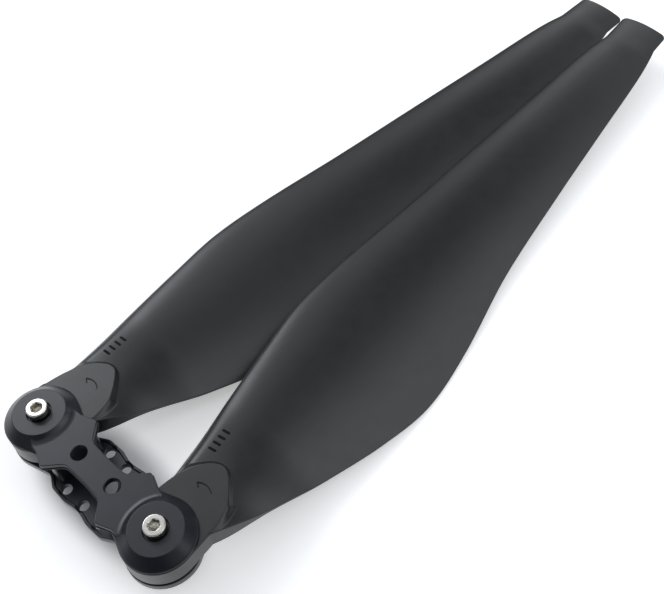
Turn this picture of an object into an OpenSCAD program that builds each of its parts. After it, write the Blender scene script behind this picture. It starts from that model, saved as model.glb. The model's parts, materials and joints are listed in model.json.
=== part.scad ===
// Folding two-blade propeller of a heavy-lift drone, in millimetres.
// Z is the rotor axis with +Z up, and the origin is the centre of the motor mounting face.
// The rotor turns counter-clockwise seen from above. Both blades are folded and point to +Y:
// the left one pivots at -X and the right one at +X, and the right one lies over the left one.

/* [Rotor] */
// Swept diameter with both blades out
rotor_d = 914; // [760:2:1000]
// Distance between the two blade pivots
pivot_span = 72; // [70:0.5:76]
// Geometric pitch: advance in one turn
blade_pitch = 508; // [420:1:540]
// Turn of the folded left blade from +Y, towards the right one
left_lean = 1.4; // [0:0.1:2]
// Turn of the folded right blade from +Y, towards the left one
right_lean = 4.3; // [3.5:0.1:4.6]

/* [Clamp plates] */
// Thickness of the lower plate
lower_t = 3.6; // [3:0.1:4]
// Radius of the lower plate round each pivot
lower_end_r = 15; // [14.8:0.1:15.2]
// Depth of the pocket in the middle of the lower plate
pocket_depth = 0.9; // [0.5:0.1:1.5]
// Height of the underside of the upper plate
upper_z = 15.3; // [15.2:0.1:15.8]
// Height of the top of the bar between the bosses
bar_top = 18.3; // [18:0.1:18.8]
// Height of the flat top of each boss
boss_top = 20.1; // [19.8:0.1:20.6]
// Radius of the flat top of each boss
boss_top_r = 10.5; // [10:0.1:11]
// Radius of each boss at its foot
boss_r = 14.8; // [14.4:0.1:15]
// Height of the foot of the boss cone, which is also the top of the plate's lip
lip_z = 15.9; // [15.8:0.1:16.4]
// Width of the lip that runs round the upper plate
lip = 0.4; // [0.2:0.05:0.6]
// Diameter of the two access holes through the bar
access_d = 6.2; // [5.8:0.1:6.8]

/* [Motor interface] */
// Circle of the inner four screw holes, which lie on X and Y
inner_pcd = 20.6; // [20:0.1:21.2]
// Circle of the outer four screw holes, which lie at 45 degrees
outer_pcd = 30; // [29.6:0.1:30.4]
// Diameter of the screw holes
screw_hole_d = 4.4; // [4.2:0.1:4.5]
// Diameter of the bore for the motor's centring boss
pilot_d = 10; // [8:0.5:11]

/* [Pivots] */
// Thread diameter of the pivot bolt
bolt_d = 5; // [4.8:0.1:5]
// Diameter of the bolt head
head_d = 8.5; // [8.2:0.1:8.8]
// Height of the bolt head
head_h = 5; // [4.8:0.1:5.2]
// How far the bolt head stands above the boss
head_proud = 3.4; // [3:0.1:3.8]
// Length of the bolt under its head
bolt_len = 25; // [24:0.5:26]
// Outer diameter of the steel sleeve that the blade turns on
sleeve_d = 8; // [7.6:0.1:8.2]
// Radial clearance between the sleeve and the blade's bush
pivot_clearance = 0.04; // [0.02:0.01:0.08]
// Outer diameter of the brass bush pressed into the blade
bush_d = 13; // [12:0.1:14]
// Outer radius of the thrust washers
washer_r = 13.2; // [12:0.1:13.6]
// Thickness of the thrust washers
washer_t = 0.7; // [0.5:0.05:0.7]

/* [Blade root] */
// Radius of the round eye at the blade's pivot
eye_r = 14.8; // [14.4:0.1:15]
// Height of the blade's root beside the raised pad
root_top = 14.1; // [13.6:0.1:14.5]
// How far the root falls towards the trailing edge
root_fall = 6; // [5:0.1:7]
// Roundness of the root's leading edge
root_nose = 5.5; // [4:0.1:7]

/* [Aerofoil] */
// Greatest camber as a part of the chord
camber = 0.045; // [0.03:0.005:0.05]
// Thickness of the trailing edge
edge_t = 0.9; // [0.6:0.05:1.1]

/* [Hidden] */
$fn = 96;
SIDES = ["left", "right"];

pivot_x = pivot_span / 2;
blade_len = rotor_d / 2 - pivot_x;
fit = 0.02;                          // radial gap of a thread or a pressed part
gap = 0.05;                          // end float of each blade between its washers
eye_z0 = lower_t + washer_t + gap;
eye_z1 = upper_z - washer_t - gap;
seat_z = boss_top + head_proud - head_h;   // where the bolt head sits in its counterbore
cut = 1;                             // how far a cutting shape runs past a face

nut_af = 8;                          // M5 prevailing-torque nut
nut_h = 5;
nut_recess = 1.2;
nut_z0 = nut_recess - nut_h;
collar_h = 1.3;
collar_d = 7.4;
insert_h = 0.9;
insert_r = 3.2;
insert_z0 = nut_z0 + collar_h - insert_h;
hex_key = 4;
hex_depth = 2.6;
head_chamfer = 0.5;
counterbore_gap = 0.55;              // radial gap round the bolt head

post_x0 = 13.6;                      // the two posts that carry the upper plate
post_x1 = 19.2;
post_y = 10.4;
plate_screw_r = 1.5;
plate_screw_head_r = 2.8;
plate_screw_head_top = 2;
plate_screw_z0 = 0.1;
plate_screw_z1 = 17.7;
plate_screw_key = 2;
plate_screw_key_top = 1.1;
plate_screw_at = [16.4, 7.4];
pin_r = 1.25;
pin_x = 16.4;
pin_z0 = 8;
pin_z1 = 17.2;
rim_w = 1.2;                         // rim left round the pocket of the lower plate

anodised = [0.17, 0.18, 0.20];
stainless = [0.80, 0.79, 0.76];
composite = [0.13, 0.14, 0.14];
bronze = [0.71, 0.55, 0.28];
dark_nylon = [0.22, 0.22, 0.23];
white_nylon = [0.90, 0.90, 0.86];

// Quarter outlines of the plates: x, y and corner radius, from the middle towards one pivot
function lower_quarter(g) = [[0, 13.2 + g, 14], [7, 14.6 + g, 6], [15, 14.3 + g, 4],
                             [20.5, 11.2 + g, 4], [32.5, 14.6 + g, 0], [pivot_x, 14.6 + g, 0]];
function upper_quarter(g) = [[0, 6.1 + g, 0], [10.4, 6.5 + g, 5], [16.8 + g / 2, 13.5 + g, 1.2],
                             [23.4, 10.9 + g, 3], [26.8, 10.6 + g, 1], [31, 7, 0]];
// The lip follows the bar and then runs straight to the foot of the boss
lip_quarter = concat([for (i = [0:2]) upper_quarter(lip)[i]],
                     [[23.8, 11.3, 3], [28.8, 12.6, 0.5], [31, 7, 0]]);
// Raised flat pad of the blade's root, across and along the blade, with corner radii
pad_outline = [[-14.4, 8, 0], [-10.3, 27.2, 10], [0.2, 36, 4], [13.3, 23.1, 8], [15.3, 13, 0], [14.4, 8, 0]];
pad_z0 = 7;

// Stations along the blade: part of its length from the pivot, leading edge and trailing edge
// from the pitch line, thickness, and height of the leading edge above the motor face
stations = [[0.02, 14.5, 14.8, 9, 9], [0.05, 14.1, 19, 9, 8.6], [0.09, 16.8, 24.2, 8.4, 8.2],
            [0.14, 21.5, 29.6, 7.8, 7.6], [0.21, 27, 37, 7, 7], [0.28, 31.5, 41.5, 6.4, 6.5],
            [0.36, 31.5, 39, 5.8, 6], [0.48, 28, 31, 4.9, 5.7], [0.62, 24.5, 26, 4.1, 5.8],
            [0.76, 20.5, 22, 3.4, 6.3], [0.89, 16.5, 18.5, 2.8, 7.2], [0.95, 12, 15.5, 2.3, 7.6],
            [0.985, 8, 12, 1.9, 7.8], [1, 6, 9.5, 1.6, 7.9]];
LEAD = 1;
TRAIL = 2;
THICK = 3;
HEIGHT = 4;
sections = 40;                       // rings along the blade
half_ring = 13;                      // points along each surface of a section
twist_s = 172;                       // distance over which the twist builds up from the root
camber_s = 60;                       // distance over which the camber builds up
fade_s = 16;                         // where the root starts to turn into the aerofoil
fade_len = 44;
fall_x = 0.45;                       // part of the chord where the root starts to fall
fall_power = 1.8;
lower_fall = 0.3;                    // how much of that fall the underside rises by

// Points of a closed outline whose corners [x, y, radius] are rounded by arcs
function unit(v) = v / norm(v);
function corner(a, v, b, r, steps) =
    let (u = unit(a - v), w = unit(b - v), half = acos(u * w) / 2,
         centre = v + unit(u + w) * r / sin(half),
         p = v + u * r / tan(half) - centre, q = v + w * r / tan(half) - centre,
         a0 = atan2(p.y, p.x), turn = (atan2(q.y, q.x) - a0 + 540) % 360 - 180)
    [for (k = [0:steps]) centre + r * [cos(a0 + turn * k / steps), sin(a0 + turn * k / steps)]];
function xy(p) = [p.x, p.y];
function rounded(pts, steps = 8) =
    let (n = len(pts))
    [for (i = [0:n - 1])
        each pts[i][2] == 0 ? [xy(pts[i])]
            : corner(xy(pts[(i + n - 1) % n]), xy(pts[i]), xy(pts[(i + 1) % n]), pts[i][2], steps)];
function reversed(v) = [for (i = [len(v) - 1:-1:0]) v[i]];
function four_fold(q) =
    let (top = concat(reversed(q), [for (i = [1:len(q) - 1]) [-q[i].x, q[i].y, q[i][2]]]))
    rounded(concat(top, [for (p = reversed(top)) [p.x, -p.y, p[2]]]));

// Smooth curve through one column of the stations, at the part f of the blade's length
function slope(i, k) =
    let (a = max(i - 1, 0), b = min(i + 1, len(stations) - 1))
    (stations[b][k] - stations[a][k]) / (stations[b][0] - stations[a][0]);
function span_of(f, i = 0) = i >= len(stations) - 2 || f < stations[i + 1][0] ? i : span_of(f, i + 1);
function along(f, k) =
    let (i = span_of(f), a = stations[i], b = stations[i + 1], h = b[0] - a[0], u = (f - a[0]) / h)
    a[k] * (1 + 2 * u) * pow(1 - u, 2) + b[k] * u * u * (3 - 2 * u)
    + slope(i, k) * h * u * pow(1 - u, 2) - slope(i + 1, k) * h * u * u * (1 - u);

// Blade angle at the distance s from the pivot: a true helix faded out towards the root
function twist(s) = atan(blade_pitch / (2 * PI * (s + pivot_x))) * (1 - exp(-s / twist_s));
function half_thickness(x, t) =
    5 * t * (0.2969 * sqrt(x) - 0.126 * x - 0.3516 * x * x + 0.2843 * pow(x, 3) - 0.1015 * pow(x, 4))
    + edge_t / 2 * x;
function aerofoil_z(s, x, chord, nose, side) =
    let (rise = 4 * camber * chord * min(1, s / camber_s) * x * (1 - x))
    nose - x * chord * tan(twist(s)) + rise + side * half_thickness(x, along(s / blade_len, THICK));
function root_z(x, back, nose, side) =
    let (bulge = sqrt(1 - pow(1 - min(1, back / root_nose), 2)),
         fall = root_fall * pow(max(0, (x - fall_x) / (1 - fall_x)), fall_power))
    side > 0 ? nose + (root_top - nose) * bulge - fall
             : nose + (eye_z0 - nose) * bulge + lower_fall * fall;
function ease(u) = let (v = max(0, min(1, u))) v * v * (3 - 2 * v);
function surface_point(s, x, side) =
    let (f = s / blade_len, lead = along(f, LEAD), chord = lead + along(f, TRAIL),
         nose = along(f, HEIGHT), share = ease((s - fade_s) / fade_len))
    [x * chord - lead, s,
     root_z(x, x * chord, nose, side) * (1 - share) + aerofoil_z(s, x, chord, nose, side) * share];
function section_s(i) =
    let (f0 = stations[0][0], u = i / sections)
    blade_len * (f0 + (1 - f0) * (0.6 * u + 0.2 * (1 - cos(180 * u))));
function ring_x(j) = (1 - cos(180 * j / half_ring)) / 2;
function ring(s) = concat([for (j = [0:half_ring]) surface_point(s, ring_x(j), 1)],
                          [for (j = [half_ring:-1:1]) surface_point(s, ring_x(j), -1)]);

module disc(x, r, z0, z1) translate([x, 0, z0]) cylinder(r = r, h = z1 - z0);
module at_pivots() for (x = [-pivot_x, pivot_x]) translate([x, 0, 0]) children();
module quadrants() for (x = [-1, 1], y = [-1, 1]) scale([x, y, 1]) children();
function side_x(side) = side == "left" ? -pivot_x : pivot_x;

module screw_holes() {
    for (a = [0:90:270]) rotate(a) {
        disc(inner_pcd / 2, screw_hole_d / 2, -cut, lower_t + cut);
        rotate(45) disc(outer_pcd / 2, screw_hole_d / 2, -cut, lower_t + cut);
    }
}
module posts() for (x = [post_x0, -post_x1])
    translate([x, -post_y, 0]) cube([post_x1 - post_x0, 2 * post_y, upper_z]);
module hexagon(across, z0, z1) translate([0, 0, z0]) cylinder(d = across / cos(30), h = z1 - z0, $fn = 6);

module lower_clamp_plate() color(anodised) difference() {
    union() {
        linear_extrude(lower_t) polygon(four_fold(lower_quarter(0)));
        at_pivots() disc(0, lower_end_r, 0, lower_t);
        posts();
    }
    difference() {
        translate([0, 0, lower_t - pocket_depth]) linear_extrude(pocket_depth + cut)
            intersection() {
                polygon(four_fold(lower_quarter(-rim_w)));
                square(2 * post_x1, center = true);
            }
        posts();
    }
    screw_holes();
    disc(0, pilot_d / 2, -cut, lower_t + cut);
    at_pivots() {
        disc(0, bolt_d / 2 + fit, -cut, lower_t + cut);
        hexagon(nut_af + 2 * fit, -cut, nut_recess);
    }
    quadrants() translate(plate_screw_at) {
        disc(0, plate_screw_r + fit, -cut, upper_z + cut);
        disc(0, plate_screw_head_r + fit, -cut, plate_screw_head_top);
    }
    for (x = [-pin_x, pin_x]) disc(x, pin_r + fit, pin_z0, upper_z + cut);
}

module upper_clamp_plate() color(anodised) difference() {
    union() {
        translate([0, 0, upper_z]) linear_extrude(bar_top - upper_z)
            polygon(four_fold(upper_quarter(0)));
        translate([0, 0, upper_z]) linear_extrude(lip_z - upper_z)
            polygon(four_fold(lip_quarter));
        at_pivots() {
            disc(0, boss_r, upper_z, lip_z);
            translate([0, 0, lip_z])
                cylinder(r1 = boss_r, r2 = boss_top_r, h = boss_top - lip_z);
        }
    }
    at_pivots() {
        disc(0, bolt_d / 2 + fit, upper_z - cut, boss_top);
        disc(0, head_d / 2 + counterbore_gap, seat_z, boss_top + cut);
    }
    for (x = [-inner_pcd / 2, inner_pcd / 2]) disc(x, access_d / 2, upper_z - cut, bar_top + cut);
    quadrants() translate(plate_screw_at)
        disc(0, plate_screw_r + fit, upper_z - cut, plate_screw_z1 + fit);
    for (x = [-pin_x, pin_x]) disc(x, pin_r + fit, upper_z - cut, pin_z1 + fit);
}

// Four screws from below, through the posts into the upper plate
module plate_screws() color(stainless)
    quadrants() translate(plate_screw_at) difference() {
        union() {
            disc(0, plate_screw_r, plate_screw_z0, plate_screw_z1);
            disc(0, plate_screw_head_r, plate_screw_z0, plate_screw_head_top);
        }
        hexagon(plate_screw_key, -cut, plate_screw_key_top);
    }

module locating_pins() color(stainless)
    for (x = [-pin_x, pin_x]) disc(x, pin_r, pin_z0, pin_z1);

module pivot_bolt(side) color(stainless) translate([side_x(side), 0, seat_z]) difference() {
    union() {
        disc(0, bolt_d / 2, -bolt_len, 0);
        disc(0, head_d / 2, 0, head_h - head_chamfer);
        translate([0, 0, head_h - head_chamfer])
            cylinder(d1 = head_d, d2 = head_d - 2 * head_chamfer, h = head_chamfer);
    }
    hexagon(hex_key, head_h - hex_depth, head_h + cut);
}

module tube(x, outer_r, inner_r, z0, z1) difference() {
    disc(x, outer_r, z0, z1);
    disc(x, inner_r, z0 - cut, z1 + cut);
}

module pivot_sleeve(side) color(stainless)
    tube(side_x(side), sleeve_d / 2, bolt_d / 2 + fit, lower_t, upper_z);

module upper_thrust_washer(side) color(dark_nylon)
    tube(side_x(side), washer_r, sleeve_d / 2 + fit, upper_z - washer_t, upper_z);

module lower_thrust_washer(side) color(dark_nylon)
    tube(side_x(side), washer_r, sleeve_d / 2 + fit, lower_t, lower_t + washer_t);

// Hexagon let into the lower plate, with the round collar of the nylon ring below it
module lock_nut(side) color(stainless) translate([side_x(side), 0, 0]) difference() {
    union() {
        hexagon(nut_af, nut_z0 + collar_h, nut_recess);
        disc(0, collar_d / 2, nut_z0, nut_z0 + collar_h);
    }
    disc(0, bolt_d / 2 + fit, nut_z0 - cut, nut_recess + cut);
    disc(0, insert_r + fit, insert_z0, insert_z0 + insert_h);
}

module nut_insert(side) color(white_nylon)
    tube(side_x(side), insert_r, bolt_d / 2 + fit, insert_z0, insert_z0 + insert_h);

// Skin of the blade from inside the eye to the tip, in the blade's own frame:
// the pitch line runs along +Y from the pivot and the trailing edge is on +X
module blade_loft() {
    n = 2 * half_ring + 1;
    points = [for (i = [0:sections]) each ring(section_s(i))];
    sides = [for (i = [0:sections - 1], j = [0:n - 1])
        let (a = i * n + j, b = i * n + (j + 1) % n)
        each [[a, a + n, b], [b, a + n, b + n]]];
    root = [[for (j = [0:n - 1]) j]];
    tip = [[for (j = [n - 1:-1:0]) sections * n + j]];
    polyhedron(points, concat(sides, root, tip));
}

module root_pad() translate([0, 0, pad_z0]) linear_extrude(eye_z1 - pad_z0) polygon(rounded(pad_outline));

module blade(side) color(composite) translate([side_x(side), 0, 0])
    rotate(side == "left" ? -left_lean : right_lean) difference() {
        union() {
            disc(0, eye_r, eye_z0, eye_z1);
            root_pad();
            blade_loft();
        }
        disc(0, bush_d / 2 + fit, eye_z0 - cut, eye_z1 + cut);
    }

module root_bush(side) color(bronze)
    tube(side_x(side), bush_d / 2, sleeve_d / 2 + pivot_clearance, eye_z0, eye_z1);

lower_clamp_plate();
upper_clamp_plate();
plate_screws();
locating_pins();
for (side = SIDES) {
    pivot_bolt(side);
    pivot_sleeve(side);
    upper_thrust_washer(side);
    lower_thrust_washer(side);
    lock_nut(side);
    nut_insert(side);
    blade(side);
    root_bush(side);
}
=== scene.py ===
# Looks of the folding two-blade drone propeller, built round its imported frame.
# Z is the rotor axis with +Z up; both blades are folded and point to +Y. Shapes are in millimetres.
import json
import math

import bmesh
import bpy
import numpy as np
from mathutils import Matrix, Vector


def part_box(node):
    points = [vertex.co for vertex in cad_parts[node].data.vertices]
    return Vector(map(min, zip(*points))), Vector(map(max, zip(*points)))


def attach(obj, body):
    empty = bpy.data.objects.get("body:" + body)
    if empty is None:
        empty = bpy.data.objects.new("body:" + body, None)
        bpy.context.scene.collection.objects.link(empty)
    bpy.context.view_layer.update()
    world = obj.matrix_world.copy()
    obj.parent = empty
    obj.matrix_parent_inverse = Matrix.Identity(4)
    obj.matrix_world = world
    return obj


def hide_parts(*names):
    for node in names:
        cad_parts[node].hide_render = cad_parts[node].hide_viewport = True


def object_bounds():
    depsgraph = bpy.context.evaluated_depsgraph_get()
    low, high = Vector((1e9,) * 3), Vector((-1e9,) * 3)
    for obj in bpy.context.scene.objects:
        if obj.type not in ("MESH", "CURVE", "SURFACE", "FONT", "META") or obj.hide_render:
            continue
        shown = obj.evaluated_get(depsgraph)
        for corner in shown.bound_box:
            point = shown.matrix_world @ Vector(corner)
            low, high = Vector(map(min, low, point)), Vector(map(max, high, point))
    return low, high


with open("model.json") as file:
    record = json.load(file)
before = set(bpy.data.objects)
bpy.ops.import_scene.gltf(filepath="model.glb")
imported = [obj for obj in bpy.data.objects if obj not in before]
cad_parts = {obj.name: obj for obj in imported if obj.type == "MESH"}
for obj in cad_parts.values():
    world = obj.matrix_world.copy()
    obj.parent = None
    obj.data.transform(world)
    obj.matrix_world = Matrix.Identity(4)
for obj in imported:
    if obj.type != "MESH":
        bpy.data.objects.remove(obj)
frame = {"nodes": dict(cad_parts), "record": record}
CAD_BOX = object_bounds()
MM = 0.001
SIDES = {"left": -1, "right": 1}
SMOOTH_BELOW = math.radians(38)          # edges that turn more than this stay sharp
LEVEL = 0.99995                          # upward part of the normal of a level face


def node_box(node):
    """Lowest and highest corner of a CAD node in millimetres."""
    low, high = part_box(node)
    return np.array(low) / MM, np.array(high) / MM


# ---- Sizes, read from the frame where it has them ----
PIVOT_X = sum(node_box("pivot_sleeve_right")[k][0] for k in (0, 1)) / 2
LOWER_TOP = node_box("pivot_sleeve_right")[0][2]
UPPER_Z = node_box("pivot_sleeve_right")[1][2]
BOSS_TOP = node_box("upper_clamp_plate")[1][2]
HEAD_TOP = node_box("pivot_bolt_right")[1][2]
BOLT_END = node_box("pivot_bolt_right")[0][2]
NUT_LOW, NUT_HIGH = (node_box("lock_nut_right")[k][2] for k in (0, 1))
EYE_Z0, EYE_Z1 = (node_box("root_bush_right")[k][2] for k in (0, 1))
LOWER_END_R = node_box("lower_clamp_plate")[1][0] - PIVOT_X
LEAN = {"left": -1.4, "right": 4.3}      # turn of each folded blade about its pivot, in degrees

BAR_TOP = 18.3
LIP_Z = 15.9                             # underside of the lip, where the boss's cone ends too
LIP = 0.4                                # how far the lip stands out from the bar
BOSS_R = 14.8
BOSS_TOP_R = 10.5
HEAD_R = 4.25                            # M5 socket-head cap screws
HEAD_H = 5.0
HEAD_EDGE = 0.5
HEX_KEY = 4.0
KEY_DEPTH = 2.6
THREAD_PITCH = 0.8
THREAD_LEN = 14
NUT_ACROSS = 8.0
NUT_POCKET = 8.05
SEAT_Z = HEAD_TOP - HEAD_H
SOCKET_R = 2.4                           # just outside the corners of the hexagon socket
COUNTERBORE_R = 4.8
BOLT_R = 2.5
BOLT_BORE_R = 2.52
INNER_R = 10.3                           # screw circles of the motor interface
OUTER_R = 15.0
SCREW_HOLE_R = 2.2
ACCESS_R = 3.1
NOTCH = (23.8, 11.3)                     # where the bar's shoulder meets the boss
BLEND_R = 4.5                            # radius of the blend between a boss and the top of the bar
BLEND_STEPS = 9
BAR_EDGE = 0.35
FOOT_EDGE = 0.22
MOUTH = 0.25                             # chamfer at the mouth of the counterbore
PILOT_R = 5.0
POCKET_DEPTH = 0.9
RIM_W = 1.2                              # width of the rim round the pocket
POST_X = (13.6, 19.2)
POST_Y = 10.4
PLATE_SCREW = (16.4, 7.4)
PLATE_SCREW_HEAD_R = 2.8

EYE_R = 14.8
BORE_R = 6.52
BLADE_LEN = 421.0
BLADE_PITCH = 508.0
CAMBER = 0.045
EDGE_T = 0.9                             # thickness of the trailing edge
TWIST_S = 172.0                          # lengths over which the twist and the camber build up
CAMBER_S = 60.0
PAD_EDGE_R, THIN_EDGE_R, TIP_EDGE_R = 0.8, 0.35, 0.3
PAD_STEP = 1.5                           # width of the step down from the pad
PLAN_INSET = 0.06                        # keeps the skin's edges inside the CAD blade's
TIP_CORNER, TIP_SKEW = 2.6, 2.0
# Edge of the raised pad: part of the chord, distance from the pivot
PAD_EDGE = ((0, 9), (0.016, 14.3), (0.057, 20.9), (0.10, 24), (0.21, 29.6), (0.43, 34.2), (0.59, 30.2),
            (0.70, 26.5), (0.80, 22.8), (0.89, 18), (0.965, 14), (1, 11.5))
ROOT_TOP = 14.1                          # height of the blade's root beside the pad
ROOT_FALL = 6.0                          # how far it falls towards the trailing edge
FALL_RUN = (10.0, 26.0)                  # where that fall starts, and over what length it grows
ROOT_NOSE = 5.5                          # roundness of its leading edge
ROOT_FADE = (16.0, 44.0)                 # where it starts to turn into the aerofoil, and over what length
# Part of the blade's length, leading edge, trailing edge, thickness, height of the leading edge
STATIONS = ((0.02, 11.8, 13.3, 9, 9), (0.05, 14, 19, 9, 8.6), (0.09, 16.8, 24.2, 8.4, 8.2),
            (0.14, 21.5, 29.6, 7.8, 7.6), (0.21, 27, 37, 7, 7), (0.28, 31.5, 41.5, 6.4, 6.5),
            (0.36, 31.5, 39, 5.8, 6), (0.48, 28, 31, 4.9, 5.7), (0.62, 24.5, 26, 4.1, 5.8),
            (0.76, 20.5, 22, 3.4, 6.3), (0.89, 16.5, 18.5, 2.8, 7.2), (0.95, 12, 15.5, 2.3, 7.6),
            (0.985, 8, 12, 1.9, 7.8), (1, 6, 9.5, 1.6, 7.9))
LEAD, TRAIL, THICK, HEIGHT = 1, 2, 3, 4
# Moulded marks, which stand in for a label: places across (t) and along (s) the blade
ARROW_T = (-3.2, 4.4)
ARROW_S = 23.4
ARROW_BOW = 1.3
MARK_BARS = 4
MARK_S = (37.6, 47.0)
MARK_T = (-9.0, -10.4)
MARK_TURN, MARK_LEN, MARK_W = 0.12, 3.8, 1.15


# ---- Shape helpers: rings of points, solids through rings, and booleans ----
def arc_corner(before, at, after, radius, steps=8):
    """Points that round the corner at with an arc."""
    u = (before - at) / np.linalg.norm(before - at)
    w = (after - at) / np.linalg.norm(after - at)
    half = math.acos(max(-1, min(1, float(u @ w)))) / 2
    centre = at + (u + w) / np.linalg.norm(u + w) * radius / math.sin(half)
    first = at + u * radius / math.tan(half) - centre
    last = at + w * radius / math.tan(half) - centre
    a0 = math.atan2(first[1], first[0])
    turn = (math.atan2(last[1], last[0]) - a0 + 3 * math.pi) % (2 * math.pi) - math.pi
    angles = [a0 + turn * k / steps for k in range(steps + 1)]
    return [centre + radius * np.array([math.cos(a), math.sin(a)]) for a in angles]


def rounded(points, closed=True, steps=8):
    """Outline through points (a, b, corner radius)."""
    made = []
    for i, (a, b, radius) in enumerate(points):
        inside = closed or 0 < i < len(points) - 1
        if radius and inside:
            before = np.array(points[i - 1][:2], float)
            after = np.array(points[(i + 1) % len(points)][:2], float)
            made += arc_corner(before, np.array([a, b], float), after, radius, steps)
        else:
            made.append(np.array([a, b], float))
    return np.array(made)


def subdivided(outline, longest=1.5):
    """The closed outline with its long sides divided."""
    made = []
    for p, q in zip(outline, np.roll(outline, -1, 0)):
        n = max(1, int(math.ceil(np.linalg.norm(q - p) / longest)))
        made += [p + (q - p) * k / n for k in range(n)]
    return np.array(made)


def grown(outline, by):
    """The closed, counter-clockwise outline moved outwards."""
    before = outline - np.roll(outline, 1, 0)
    after = np.roll(outline, -1, 0) - outline
    before /= np.linalg.norm(before, axis=1)[:, None]
    after /= np.linalg.norm(after, axis=1)[:, None]
    out = np.stack([before[:, 1] + after[:, 1], -before[:, 0] - after[:, 0]], 1)
    out /= np.linalg.norm(out, axis=1)[:, None]
    square = out[:, 0] * before[:, 1] - out[:, 1] * before[:, 0]
    return outline + out * by / np.maximum(0.3, square)[:, None]


def level(outline, z):
    return np.column_stack([outline, np.full(len(outline), z)])


def circle(radius, z, x=0.0, y=0.0, n=144):
    a = np.arange(n) * 2 * math.pi / n
    return np.column_stack([x + radius * np.cos(a), y + radius * np.sin(a), np.full(n, z)])


def solid(rings, loop=False):
    """Points and faces through rings of equal length. A loop joins the last ring to the first."""
    n = len(rings[0])
    count = len(rings)
    faces = []
    for i in range(count if loop else count - 1):
        low, high = i * n, (i + 1) % count * n
        faces += [(low + j, low + (j + 1) % n, high + (j + 1) % n, high + j) for j in range(n)]
    if not loop:
        faces.append(tuple(reversed(range(n))))
        faces.append(tuple(range((count - 1) * n, count * n)))
    return np.concatenate(rings), faces


def slab(outline, z0, z1, top=0.3, bottom=0.15, steps=3):
    """Prism with rounded top and bottom edges."""
    rings = []
    for k in range(steps + 1):
        a = math.pi / 2 * k / steps
        rings.append(level(grown(outline, bottom * (math.sin(a) - 1)), z0 + bottom * (1 - math.cos(a))))
    for k in range(steps + 1):
        a = math.pi / 2 * k / steps
        rings.append(level(grown(outline, top * (math.cos(a) - 1)), z1 - top * (1 - math.sin(a))))
    return solid(rings)


def turned(profile, x=0.0, y=0.0, n=144, loop=False):
    """Solid of revolution through (radius, height, corner radius) points, from the bottom up."""
    path = rounded(profile, closed=loop, steps=4)
    return solid([circle(r, z, x, y, n) for r, z in path], loop)


def drill(radius, z0, z1, x=0.0, y=0.0, mouth=0.2, n=64):
    """Cutter for a hole between two faces, with a small chamfer at each."""
    over = 1.0
    profile = [(radius + mouth + over, z0 - over, 0), (radius, z0 + mouth, 0),
               (radius, z1 - mouth, 0), (radius + mouth + over, z1 + over, 0)]
    return turned(profile, x, y, n)


def mesh_object(name, points, faces):
    """A new object from points in millimetres."""
    mesh = bpy.data.meshes.new(name)
    mesh.from_pydata((np.asarray(points) * MM).tolist(), [], faces)
    obj = bpy.data.objects.new(name, mesh)
    bpy.context.scene.collection.objects.link(obj)
    return obj


def apply_modifiers(obj):
    """Replaces the mesh with its modified form."""
    bpy.context.view_layer.update()
    seen = obj.evaluated_get(bpy.context.evaluated_depsgraph_get())
    mesh = bpy.data.meshes.new_from_object(seen)
    obj.modifiers.clear()
    old, obj.data = obj.data, mesh
    bpy.data.meshes.remove(old)


def combine(obj, shape, operation):
    """Union, difference or intersection of obj with a shape, applied."""
    tool = mesh_object("tool", *shape)
    step = obj.modifiers.new("combine", "BOOLEAN")
    step.operation = operation
    step.solver = "EXACT"
    step.object = tool
    apply_modifiers(obj)
    bpy.data.objects.remove(tool)


def flatten_normals(obj):
    """Level faces keep their own normal."""
    mesh = obj.data
    normals = np.array([n.vector for n in mesh.corner_normals])
    for face in mesh.polygons:
        if abs(face.normal.z) > LEVEL:
            normals[list(face.loop_indices)] = (0, 0, math.copysign(1, face.normal.z))
    mesh.normals_split_custom_set(normals.tolist())


def weld(obj):
    """Joins points that lie together and turns every face outwards."""
    edit = bmesh.new()
    edit.from_mesh(obj.data)
    bmesh.ops.remove_doubles(edit, verts=edit.verts, dist=1e-6)
    bmesh.ops.recalc_face_normals(edit, faces=edit.faces)
    edit.to_mesh(obj.data)
    edit.free()


def finish_mesh(obj, material, body, replaced):
    """Smooth shading that keeps flat faces flat, then the material and the body; the CAD nodes it replaces
    are hidden.
    """
    weld(obj)
    obj.data.polygons.foreach_set("use_smooth", [True] * len(obj.data.polygons))
    obj.data.set_sharp_from_angle(angle=SMOOTH_BELOW)
    weigh = obj.modifiers.new("normals", "WEIGHTED_NORMAL")
    weigh.mode = "FACE_AREA"
    weigh.weight = 90
    weigh.keep_sharp = True
    apply_modifiers(obj)
    flatten_normals(obj)
    obj.data.materials.clear()
    obj.data.materials.append(material)
    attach(obj, body)
    if replaced:
        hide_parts(*replaced)


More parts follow.
